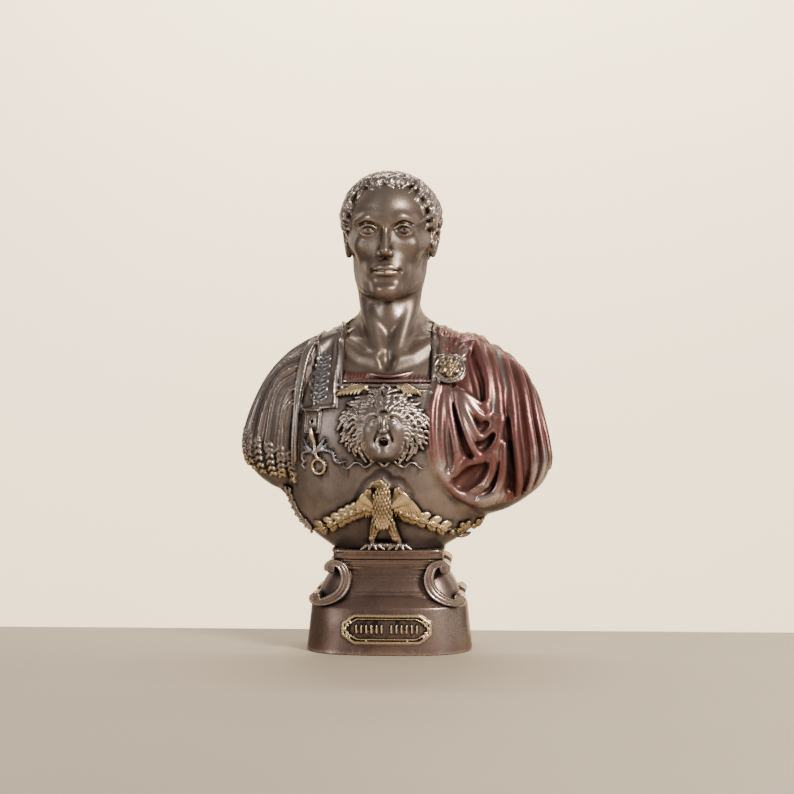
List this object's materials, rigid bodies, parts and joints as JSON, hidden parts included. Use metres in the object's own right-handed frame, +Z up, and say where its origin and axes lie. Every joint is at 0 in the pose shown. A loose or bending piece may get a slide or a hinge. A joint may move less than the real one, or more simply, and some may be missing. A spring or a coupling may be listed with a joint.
{
  "type": "roman emperor bust",
  "caption": "Cast bust of a cuirassed Roman emperor with a draped cloak, breast mask, eagle and laurel swag, on a scrolled oval plinth.",
  "frame": {"origin": "centre of the plinth's underside", "axes": "+Z up through the bust, -Y the way the bust faces, +X towards the cloaked shoulder"},
  "size_m": [0.1941, 0.1172, 0.3003],
  "materials": {
    "bust": "cold-cast bronze, dark brown patina rubbed to bronze on the ridges, with gilt, red and silver touches",
    "plinth": "cold-cast bronze, dark red-brown patina, rubbed edges"
  },
  "bodies": {
    "root": {"bust": "bust", "plinth": "plinth"}
  },
  "joints": []
}
